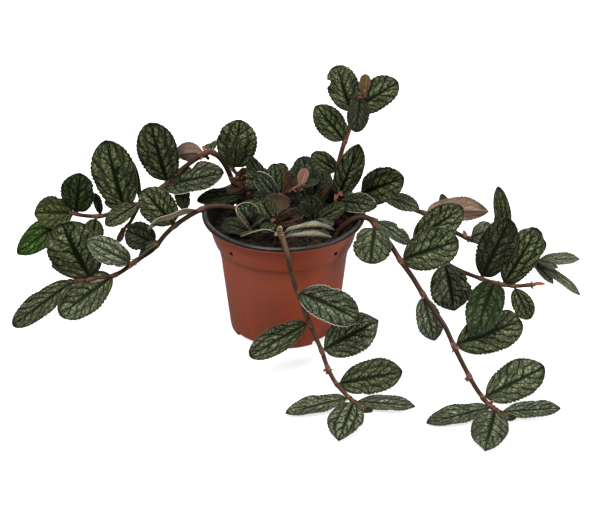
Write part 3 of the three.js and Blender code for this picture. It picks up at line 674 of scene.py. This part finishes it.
def tube(path, radii, colour, knuckles):
    """A round stem along a path, in millimetres, with the places where it thickens at a leaf."""
    bpy.ops.curve.primitive_nurbs_path_add()
    cord = bpy.context.object
    cord.data.splines.clear()
    spline = cord.data.splines.new("POLY")
    spline.points.add(len(path) - 1)
    for point, spot, radius in zip(spline.points, path, radii):
        point.co = (*(spot * MM), 1)
        point.radius = radius
    cord.data.bevel_depth = MM
    cord.data.bevel_resolution = 3
    cord.data.use_fill_caps = True
    cord.location = (0, 0, 0)
    bpy.ops.object.convert(target="MESH")
    stem = bpy.context.object
    mesh = stem.data
    mesh.materials.append(stem_material)
    spots = np.empty(len(mesh.vertices) * 3)
    mesh.vertices.foreach_get("co", spots)
    spots = spots.reshape(-1, 3) / MM
    spots[:, 2] = np.maximum(spots[:, 2], GROUND)
    mesh.vertices.foreach_set("co", (spots * MM).ravel())
    near = np.zeros(len(spots))
    for knuckle in knuckles:
        near = np.maximum(near, np.exp(-(np.linalg.norm(spots - knuckle, axis=1) / KNUCKLE_LENGTH) ** 2))
    mesh.attributes.new("stem_knuckle", "FLOAT", "POINT").data.foreach_set("value", near)
    rgba = np.tile((*colour, 1.0), (len(spots), 1))
    mesh.attributes.new("stem_colour", "FLOAT_COLOR", "POINT").data.foreach_set("color", rgba.ravel())
    return stem


def grow(name, node, stems):
    """A leafy stem: each of its stems as (root radius, tip radius, colour, points, leaves).

    A leaf is (place along the points, tip x, y and z, heading and rise that its upper face looks to, width,
    arch, kind), and where it has one also its curl, or its curl and its dent.
    """
    round_parts = []
    blades = []
    for root, end, colour, points, leaves in stems:
        points = [np.array(point, float) for point in points]
        spans = len(points) - 1
        steps = np.linspace(0, spans, spans * STEM_FINENESS + 1)
        path = [along_stem(points, at) for at in steps]
        places = [along_stem(points, leaf[0]) for leaf in leaves]
        radii = []
        for at, spot in zip(steps, path):
            near = max(math.exp(-(np.linalg.norm(spot - place) / KNUCKLE_LENGTH) ** 2) for place in places)
            radii.append((root + STEM_FULLNESS + (end - root) * at / spans) * (1 + KNUCKLE * near))
        round_parts.append(tube(path, radii, colour, places))
        for place, (at, x, y, z, heading, rise, width, arch, kind, *curl) in zip(places, leaves):
            tip = np.array((x, y, z), float)
            blades.append(blade(place, tip, heading_and_rise(heading, rise), width, arch, kind, *curl))
            ahead = along_stem(points, min(at + ONWARD_REACH, spans))
            onward = ahead - along_stem(points, max(at - ONWARD_REACH, 0))
            onward /= np.linalg.norm(onward)
            beside = np.cross(onward, tip - place)
            beside /= np.linalg.norm(beside)
            for way in (-1, 1):
                outward = beside * way
                foot = place + outward * end * HUSK_FOOT
                husk_tip = foot + onward * HUSK_LENGTH * HUSK_ONWARD + outward * HUSK_LENGTH * HUSK_OUTWARD
                blades.append(blade(foot, husk_tip, outward + HUSK_LEAN, HUSK_WIDTH, HUSK_ARCH, "husk"))
        onward = path[-1] - path[-3]
        onward /= np.linalg.norm(onward)
        across = np.cross(onward, SKEW)
        for way in (-1, 1):
            bud_tip = path[-1] + onward * BUD_LENGTH + across * way * BUD_OPENING
            blades.append(blade(path[-1] - onward, bud_tip, across * way, BUD_WIDTH, BUD_ARCH, "young"))
    bpy.ops.object.select_all(action="DESELECT")
    for part in blades:
        part.select_set(True)
    bpy.context.view_layer.objects.active = blades[0]
    bpy.ops.object.join()
    plant = bpy.context.object
    sheet = plant.modifiers.new("thickness", "SOLIDIFY")
    sheet.thickness = BLADE_THICKNESS * MM
    sheet.offset = 0
    sheet.material_offset = 1
    sheet.material_offset_rim = 2
    bpy.ops.object.modifier_apply(modifier=sheet.name)
    for part in round_parts:
        part.select_set(True)
    bpy.ops.object.join()
    plant.name = name
    bpy.ops.object.shade_smooth_by_angle(angle=math.radians(PLANT_SMOOTH_ANGLE))
    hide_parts(node)
    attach(plant, "root")


# Upright stem
# The tallest stem, right of the middle of the pot, with broad leaves up to its tip and a young leaf there.
grow("upright_plant", "upright_stem", [
    (1.8, 1.1, STEM_RED, [
        (39, 5, 70), (39, 5, 83), (39, 4, 97), (39, 3, 124), (42, 2, 142), (47, 1, 159), (48, 0, 170),
        (51, -2, 179), (55, -3, 187)],
     [
        (6.2, 37.5, 8, 205.5, -90, 25, 23, 3, "mature", 0, -0.72),
        (8, 58, 1, 202, -70, 10, 9, 1, "young"),
        (6.5, 81, -1, 196.5, -100, 45, 24, 1, "mature"),
        (7.9, 51, -29, 171, -90, 60, 16, 3, "deep"),
        (4.4, 23, 0, 178, -90, 30, 21, 3, "mature"),
        (3, 20, 0, 140, -95, 40, 15, 2, "mature"),
        (2.2, 54, -8, 152, -85, 20, 20, 2, "mature"),
        (2.15, 67, -20, 108, -95, 40, 16, 2, "rimmed"),
        (2.6, 36, 0, 111.5, -90, 20, 3, 0.5, "scale"),
        (2.5, 43, -2, 107.5, -90, 20, 3, 0.5, "scale"),
        (2.4, 38, -2, 105, -90, 30, 3, 0.5, "scale"),
    ]),
])


# Middle shoot
# A short shoot in the middle, with small leaves and the pink and brown young ones at its tip.
grow("middle_plant", "middle_shoot", [
    (1.5, 0.9, STEM_BROWN, [
        (-8, 9, 70), (-7, 9, 84), (-4, 11, 99), (4, 7, 107), (11, 4, 111.5)],
     [
        (2, -7, 18, 124, -90, 30, 16, 2, "mature"),
        (2, -20, 12, 120, -110, 30, 14, 2, "light"),
        (4, 16, 10, 124, -90, 10, 8, 1, "pink"),
        (1.6, -22, 4, 104, -90, 40, 15, 2, "deep"),
        (2.2, -2, 25, 121, -90, 20, 13, 2, "deep"),
        (3, 2, 8, 123, -70, 10, 7, 1, "brown"),
        (4, 25, 3, 116, -90, 80, 10, 1, "deep"),
        (2, -29.5, 16, 133.5, -80, 20, 11, 2, "mature"),
        (3.3, 0, 10, 116, -90, 20, 5, 1, "brown"),
        (3.4, 1, 6, 108.5, -100, 30, 5, 1, "brown"),
        (3.6, 8, 10, 115.5, -80, 10, 4, 1, "brown"),
        (3.8, 17, 8, 111.5, -80, 50, 4, 1, "brown"),
    ]),
])


# Middle left shoot
# A shoot with the largest rounded leaf at its tip, facing the front.
grow("middle_left_plant", "middle_left_shoot", [
    (1.6, 1, STEM_BROWN, [
        (-22, 15, 70), (-23, 15, 84), (-26, 15, 100), (-31, 13, 113), (-37, 12, 122)],
     [
        (4, -31, 18, 159, -90, 25, 30, 3, "mature"),
        (4, -33.5, 2, 153, -75, 10, 11, 1.5, "mature"),
        (3.2, -30, 9, 125, -60, 20, 7, 1, "brown"),
        (2, -64, 10, 97.5, -95, 55, 14, 2, "deep"),
        (2.7, -40, 6, 118, -90, 20, 5, 1, "brown"),
        (2.6, -34, 4, 114, -80, 30, 4, 1, "brown"),
        (2.5, -41.5, 4, 108.5, -90, 40, 5, 1, "brown"),
        (2.9, -29, 8, 119.5, -70, 10, 4, 1, "brown"),
    ]),
])


# Front left shoot
# A low shoot near the front left rim, with a curled leaf.
grow("front_left_plant", "front_left_shoot", [
    (1.4, 1, STEM_BROWN, [
        (-21, -17, 70), (-21, -17, 84), (-22, -17, 92)],
     [
        (1.2, -33, -22, 110, -60, 20, 21, 3, "rimmed", -0.55),
        (1.6, -14, -31, 104, -70, 50, 14, 2, "deep"),
        (2, -26, -6, 106, -80, 40, 13, 2, "mature"),
        (1, -45, -12, 90, -90, 60, 14, 2, "deep"),
    ]),
])


# Front middle shoot
# A low shoot in front of the middle, with one leaf seen from its brown underside.
grow("front_middle_plant", "front_middle_shoot", [
    (1.4, 1, STEM_BROWN, [
        (-8, -6, 70), (-8, -6, 84), (-6, -6, 92)],
     [
        (1.5, -17, -4, 106, -90, 20, 15, 2, "mature"),
        (2, -4, -2, 109, 90, 10, 20, 3, "brown"),
        (1.3, 14, -14, 98, -80, 45, 15, 2, "deep"),
        (1.2, -14, -29, 91, -100, 60, 11, 2, "mature"),
        (1.4, 4.5, -18, 102, -90, 30, 4, 1, "brown"),
        (1.5, 9.5, -16, 105, -80, 20, 4, 1, "brown"),
        (1.3, 14, -20, 99.5, -80, 40, 5, 1, "brown"),
        (1.1, 8.5, -22, 95, -90, 40, 5, 1, "brown"),
    ]),
])


# Middle right shoot
# A low shoot beside the upright stem, with one upright leaf darkened as painted shade.
grow("middle_right_plant", "middle_right_shoot", [
    (1.5, 1, STEM_BROWN, [
        (22, 0, 70), (22, 0, 84), (21, 6, 98)],
     [
        (1.5, 14, 26, 126, -90, 15, 22, 3, "deep"),
        (1, 46, -9, 104, -90, 40, 12, 2, "mature"),
        (2, 32, 9, 111, -60, 20, 7, 1, "young"),
        (1.7, 30, 22, 118, -90, 20, 17, 2, "deep"),
        (1.2, 34, -16, 88, -80, 60, 14, 2, "light"),
        (0.8, 20, 2, 105.5, -95, 20, 17, 2, "deep"),
        (1.2, 12, -4, 103, -90, 30, 9, 1, "deep"),
    ]),
])


# Left trailing stem
# The lower of the two left stems, over the rim and down to the left.
grow("left_trailing_plant", "left_trailing_stem", [
    (1.9, 1.3, STEM_BROWN, [
        (-24, -5, 70), (-24, -5, 83), (-28, -4, 92), (-37, -2, 97.5), (-51, -3, 99.5), (-62, -6, 97.5),
        (-76, -9, 89.5), (-86, -11, 81), (-96, -13, 69), (-108, -15, 61), (-119, -17, 53),
        (-127, -18, 49.5), (-142, -20, 48), (-154, -22, 48)],
     [
        (6.3, -101.5, -9, 116, -90, 30, 26, 2, "mature"),
        (4.8, -99, -16, 87, 90, 50, 20, 1.5, "olive", 0.6),
        (7.7, -115, -10, 83, -90, 40, 22, 2, "deep"),
        (9.3, -142, -26, 83.5, -90, 40, 20, 1, "pale"),
        (9, -91, -24, 80, -90, 75, 14, 2, "mature"),
        (12, -161.5, -14, 91.5, -90, 30, 39, 2, "mature"),
        (10.7, -164, -36, 26.5, -90, 50, 30, 1, "soft"),
        (13, -199, -36, 17.5, -90, 50, 20, 1, "soft"),
        (12.6, -171, -14, 56, 90, 20, 14, 2, "deep"),
    ]),
])


# Left arching stem
# The higher left stem, arching over the rim in the air, with a small side shoot.
grow("left_arching_plant", "left_arching_stem", [
    (1.9, 1.2, STEM_BROWN, [
        (-30, 22, 70), (-31, 22, 84), (-36, 23, 101), (-43, 23, 120), (-50, 22, 129.5), (-57, 21, 131),
        (-73, 20, 120), (-86, 20, 107), (-93, 20, 101), (-107, 20, 90), (-122, 20, 84), (-137, 20, 79.5),
        (-150, 20, 80), (-157, 20, 82)],
     [
        (9.8, -130, 24, 140, -90, 25, 33, 3, "mature"),
        (7, -97, 22, 155, -90, 25, 30, 3, "mature"),
        (5, -80, 28, 126, 90, 5, 17, 2, "sage"),
        (4.3, -54, 32, 133.5, -90, 20, 11, 2, "mature"),
        (7.6, -43.5, 8, 120.5, -90, 55, 25, 2, "rimmed", 0, -0.5),
        (7.9, -52, 27, 104, 90, 60, 17, 2, "deep"),
        (6.3, -73, 8, 91, -90, 30, 12, 2, "deep"),
        (9, -132, 8, 78, -90, 50, 15, 2, "mature"),
        (12.7, -150, 22, 114, -90, 30, 26, 2, "green"),
        (12.8, -184, 8, 88, -90, 40, 25, 2, "moss"),
        (13, -198.5, 5, 55.5, -90, 50, 22, 1, "fresh"),
        (11.2, -143, 12, 63, -90, 40, 16, 2, "mature"),
        (11, -140, 19, 99, -60, 10, 7, 1, "deep"),
        (9.6, -133, 17, 93, -80, 30, 8, 1, "mature"),
        (9, -112, 26, 122.5, -60, 10, 5, 2, "deep"),
        (5, -59.5, 26, 134.5, -80, 10, 2.4, 0.5, "scale"),
        (5, -52, 26, 132.5, -80, 20, 2.6, 0.5, "scale"),
        (5.1, -55, 24, 124.5, -80, 10, 2.6, 0.5, "scale"),
        (5.2, -61, 24, 125.5, -90, 30, 2.4, 0.5, "scale"),
    ]),
    (1.4, 0.9, STEM_BROWN, [
        (-107, 20, 90), (-111, 17, 83), (-114, 14, 78), (-118, 12, 74)],
     [
        (3, -123.5, 5, 65, -90, 35, 5, 0.5, "brown"),
    ]),
])


# Front trailing stem
# Over the front rim, down past the pot and along the ground to the front.
grow("front_trailing_plant", "front_trailing_stem", [
    (1.9, 1.2, STEM_TAN, [
        (-4, -24, 70), (-4, -25, 84), (-3.5, -36, 94.5), (-1.5, -47, 99.5), (0.5, -57, 99.2),
        (3, -63.5, 93.5), (4.5, -65, 86), (7, -64, 74), (10, -64, 63), (15, -64, 48), (21, -65, 31),
        (27, -67, 17), (31, -71, 6), (35, -82, 2.6), (39, -93, 2.4), (46, -107, 2.4), (56, -124, 3.5)],
     [
        (2.6, -30, -49, 99, 90, 65, 12, 3, "olive"),
        (3, 36, -48, 104, 90, 65, 15, 3, "light", 0.4),
        (3.4, 34, -51, 100.5, -90, 70, 12, 2, "light", 0.15),
        (8, 53, -78, 48, -90, 50, 27, 3, "rimmed"),
        (9.6, -24, -80, 19, -90, 45, 20, 1, "soft"),
        (11.1, 68, -62, 38, -90, 45, 31, 0, "sage"),
        (13.8, 84.5, -91.5, 13.5, -90, 55, 27, -0.5, "mature"),
        (15.1, 2, -128.5, 2.6, -90, 84, 19, 0.5, "sage"),
        (15.4, 38, -160, 2, -90, 86, 25, 1, "sage"),
        (15.4, 92, -124, 5.5, -90, 75, 15, 0.5, "sage"),
        (16, 62, -131, 6, -90, 60, 5, 0.5, "deep"),
        (2.4, -2, -46, 106, -90, 30, 4.6, 1.2, "cream"),
        (2.4, -6, -48, 100, -90, 30, 3, 1, "cream"),
        (12.3, 28.5, -76, 4, -90, 40, 2.4, 0.4, "scale"),
        (12.3, 29.5, -75, 7.5, -90, 40, 2, 0.4, "scale"),
        (9.2, 19, -66, 50, -90, 40, 2.2, 0.4, "scale"),
    ]),
])


# Right front trailing stem
# Over the right rim, down to the ground and along it, with a long side branch in the air.
grow("right_front_trailing_plant", "right_front_trailing_stem", [
    (1.9, 1.3, STEM_BROWN, [
        (38, -14, 70), (39, -15, 83), (46, -17, 93), (54, -18, 98.5), (62, -20, 98), (69, -25, 91),
        (77, -31, 83), (84, -38, 74), (92, -45, 65), (100, -52, 54), (108, -58.5, 44), (115.5, -65, 35),
        (122, -72, 23), (127, -77, 14), (133, -84, 4.5), (136, -93, 2.6), (139, -103, 2.4),
        (144, -117, 2.4), (155, -134, 3.5)],
     [
        (4.6, 62, -42, 73.5, -90, 50, 28, 3, "soft"),
        (7, 125, -40, 91, -90, 40, 30, 1, "mature"),
        (9, 109, -62, 21, -90, 10, 19, 2, "pale", 0, -0.5),
        (12, 172.5, -46, 28, -95, 35, 31, 2, "mature"),
        (17.2, 99, -139.5, 2, -90, 84, 20, 0, "sage"),
        (17.4, 136, -172, 2, -90, 86, 26, 1, "sage"),
        (17.6, 192, -130, 8, -90, 75, 16, 0, "sage"),
        (16.4, 184, -97, 21, -90, 55, 29, -1, "soft"),
        (18, 160, -140, 6, -90, 60, 5, 0.5, "deep"),
        (14.0, 129.5, -86, 3, -90, 40, 2.2, 0.4, "scale"),
        (14.0, 131, -86, 1.5, -90, 40, 1.8, 0.4, "scale"),
        (12.1, 120, -73.5, 26, -90, 40, 2.2, 0.4, "scale"),
        (17, 146.5, -119, 7, -90, 40, 2.4, 0.4, "scale"),
    ]),
    (1.6, 1.1, STEM_BROWN, [
        (54, -18, 98.5), (62, -17, 96.8), (68, -15, 92.5), (80, -14, 84.5), (93, -14, 75), (115, -14, 61),
        (128, -14, 53), (141, -14, 47), (156, -14, 41.5), (170, -16, 40), (181, -18, 42)],
     [
        (1.6, 91, -23, 79.5, -90, 60, 13, 2, "light", 0, -0.55),
        (4, 130, -10, 102, -90, 35, 24, 3, "mature"),
        (5.2, 125.5, -30, 27, -90, 40, 31, 2, "sage"),
        (7.3, 165, -8, 92, -90, 30, 28, 1, "deep"),
        (8.4, 185.5, -8, 84, -85, 30, 25, 3, "mature"),
        (8, 137, -71, 30, -95, 60, 27, 7, "green"),
        (9, 182, -25, 17, -90, 20, 16, 2, "mature"),
        (10, 192, -22, 45, -80, 60, 3, 1, "scale"),
    ]),
])


# Right back stem
# Over the right rim behind the others, out to the far right.
grow("right_back_plant", "right_back_stem", [
    (1.8, 1.2, STEM_BROWN, [
        (40, 16, 70), (41, 16, 83), (46, 16, 95), (56, 15, 100), (70, 14, 99), (86, 14, 92.5),
        (99, 14, 87), (107, 14, 83.5), (119, 13, 75.5), (131, 12, 68), (149, 11, 60), (162, 10, 54),
        (175, 9, 50), (188, 8, 47.5)],
     [
        (3, 87, -5, 123, -100, 35, 27, 3, "mature"),
        (4.2, 99, 2, 94, -80, 60, 15, 2, "soft"),
        (6.6, 151, 8, 89.5, 90, 2, 21, 3, "sage"),
        (8.5, 117, 22, 97, -90, 30, 9, 1, "mature"),
        (9.4, 157, 9, 75, -90, 50, 17, 1, "pale"),
        (11, 158, 20, 104, -60, 10, 16, 3, "mature"),
        (11.4, 195, 5, 64, -80, 50, 22, 2, "mature"),
        (13, 220.5, 4, 51.5, -90, 65, 12, 1, "pale"),
        (13, 221, -8, 27.5, -60, 70, 10, 1, "pale"),
        (13, 204, 2, 49, -90, 60, 8, 1, "pale"),
        (12, 183, 15, 71, 90, 20, 14, 2, "mature"),
        (13, 204, -2, 47.5, -80, 40, 6, 1, "pale"),
        (12.8, 201, -4, 35, -80, 40, 7, 1, "pale"),
        (9.3, 132.5, 4, 76, -90, 30, 3, 0.6, "cream"),
    ]),
])


# Back right trailing stem
# Behind the pot, over the rim and down to the ground.
grow("back_right_trailing_plant", "back_right_trailing_stem", [
    (1.7, 1, STEM_BROWN, [
        (14, 28, 70), (14, 29, 83), (15, 40, 94), (16, 50, 98.5), (17, 60, 98), (18, 66, 92),
        (20, 72, 80), (22, 77, 62), (24, 82, 42), (26, 87, 22), (28, 94, 7), (31, 107, 2.6),
        (34, 120, 3.5)],
     [
        (5, 43, 74, 66, 60, 45, 24, 3, "mature"),
        (2, 36, 34, 103, -80, 45, 16, 2, "mature"),
        (2.4, 3, 46, 103, -100, 40, 15, 2, "mature"),
        (6, 14, 97, 50, 90, 45, 22, 3, "mature"),
        (7, 46, 96, 38, 60, 45, 25, 3, "mature"),
        (8, 12, 114, 16, 90, 45, 22, 3, "mature"),
        (9, 47, 117, 13, 60, 45, 25, 3, "mature"),
        (10.6, 11, 136, 3, 90, 82, 20, 2, "mature"),
        (11.4, 52, 143, 4, 70, 78, 20, 2, "mature"),
        (12, 33, 166, 3, 90, 82, 22, 2, "mature"),
    ]),
])


# Back left trailing stem
# Behind the pot, over the rim and down to the ground.
grow("back_left_trailing_plant", "back_left_trailing_stem", [
    (1.7, 1, STEM_BROWN, [
        (-10, 30, 70), (-11, 31, 83), (-12, 41, 94), (-14, 51, 98.5), (-15, 61, 97.5), (-17, 67, 90),
        (-19, 72, 76), (-21, 77, 58), (-24, 82, 38), (-26, 88, 18), (-28, 97, 5), (-30, 110, 2.8),
        (-32, 124, 3.6)],
     [
        (5, -43, 73, 63, 120, 45, 24, 3, "mature"),
        (2.2, -37, 42, 101, -100, 45, 17, 2, "mature"),
        (6, -14, 97, 43, 90, 45, 22, 3, "mature"),
        (7, -46, 93, 34, 120, 45, 25, 3, "mature"),
        (8, -12, 112, 10, 90, 45, 20, 3, "mature"),
        (9, -46, 116, 8, 120, 50, 24, 3, "mature"),
        (10.6, -12, 140, 3, 90, 82, 20, 2, "mature"),
        (11.4, -54, 142, 4, 110, 78, 20, 2, "mature"),
        (12, -34, 168, 3, 90, 82, 22, 2, "mature"),
    ]),
])

for blank in blanks.values():
    bpy.data.objects.remove(blank)


# Setting
# A studio floor that is white to the camera, so that only a faint shadow shows, and dim to the object. Light
# comes from the upper left front, above, the right and, weakly, behind. This section is in metres.
FLOOR_SIZE = 12
FLOOR_TO_CAMERA = (0.50, 0.50, 0.50, 1)
FLOOR_TO_OBJECT = (0.30, 0.30, 0.30, 1)
FLOOR_GLOW = 0.75
SKY_TO_OBJECT = 0.1
SKY_TO_CAMERA = 1.0
CAMERA_DOWN = 29
CAMERA_DISTANCE = 1.3
AIM = (0.0119, 0, 0.0556)
LENS = 105


def studio_floor():
    material, tree, shader, place = new_material("studio_floor")
    seen = put(tree, "LightPath").outputs["Is Camera Ray"]
    tree.links.new(blend(tree, seen, FLOOR_TO_OBJECT, FLOOR_TO_CAMERA), shader.inputs["Base Color"])
    shader.inputs["Roughness"].default_value = 0.85
    shader.inputs["Specular IOR Level"].default_value = 0.1
    shader.inputs["Emission Color"].default_value = (1, 1, 1, 1)
    tree.links.new(maths(tree, "MULTIPLY", seen, FLOOR_GLOW), shader.inputs["Emission Strength"])
    return material


def area_light(name, place, size, power):
    bpy.ops.object.light_add(type="AREA", location=place)
    lamp = bpy.context.object
    lamp.name = name
    lamp.data.shape = "DISK"
    lamp.data.size = size
    lamp.data.energy = power
    lamp.rotation_euler = (Vector(AIM) - Vector(place)).to_track_quat("-Z", "Y").to_euler()


bpy.ops.mesh.primitive_plane_add(size=FLOOR_SIZE)
floor = bpy.context.object
floor.name = "studio_floor"
floor.data.materials.append(studio_floor())
area_light("key_light", place=(-0.7, -0.9, 1.8), size=0.9, power=40)
area_light("fill_light", place=(1.5, -0.6, 0.9), size=1.0, power=22)
area_light("top_light", place=(0.2, 0.3, 2.0), size=0.8, power=22)
area_light("back_light", place=(0.5, 1.6, 1.0), size=1.2, power=14)
world = bpy.data.worlds.new("studio")
world.use_nodes = True
sky = world.node_tree
seen = sky.nodes.new("ShaderNodeLightPath").outputs["Is Camera Ray"]
strengths = {"Value": seen, "To Min": SKY_TO_OBJECT, "To Max": SKY_TO_CAMERA}
bright = put(sky, "MapRange", strengths).outputs[0]
sky.nodes["Background"].inputs["Color"].default_value = (1, 1, 1, 1)
sky.links.new(bright, sky.nodes["Background"].inputs["Strength"])
bpy.context.scene.world = world
bpy.context.scene.view_settings.view_transform = "Standard"
down = math.radians(CAMERA_DOWN)
away = Vector((0, -math.cos(down), math.sin(down))) * CAMERA_DISTANCE
bpy.ops.object.camera_add(location=Vector(AIM) + away, rotation=(math.pi / 2 - down, 0, 0))
bpy.context.scene.camera = bpy.context.object
bpy.context.object.data.lens = LENS
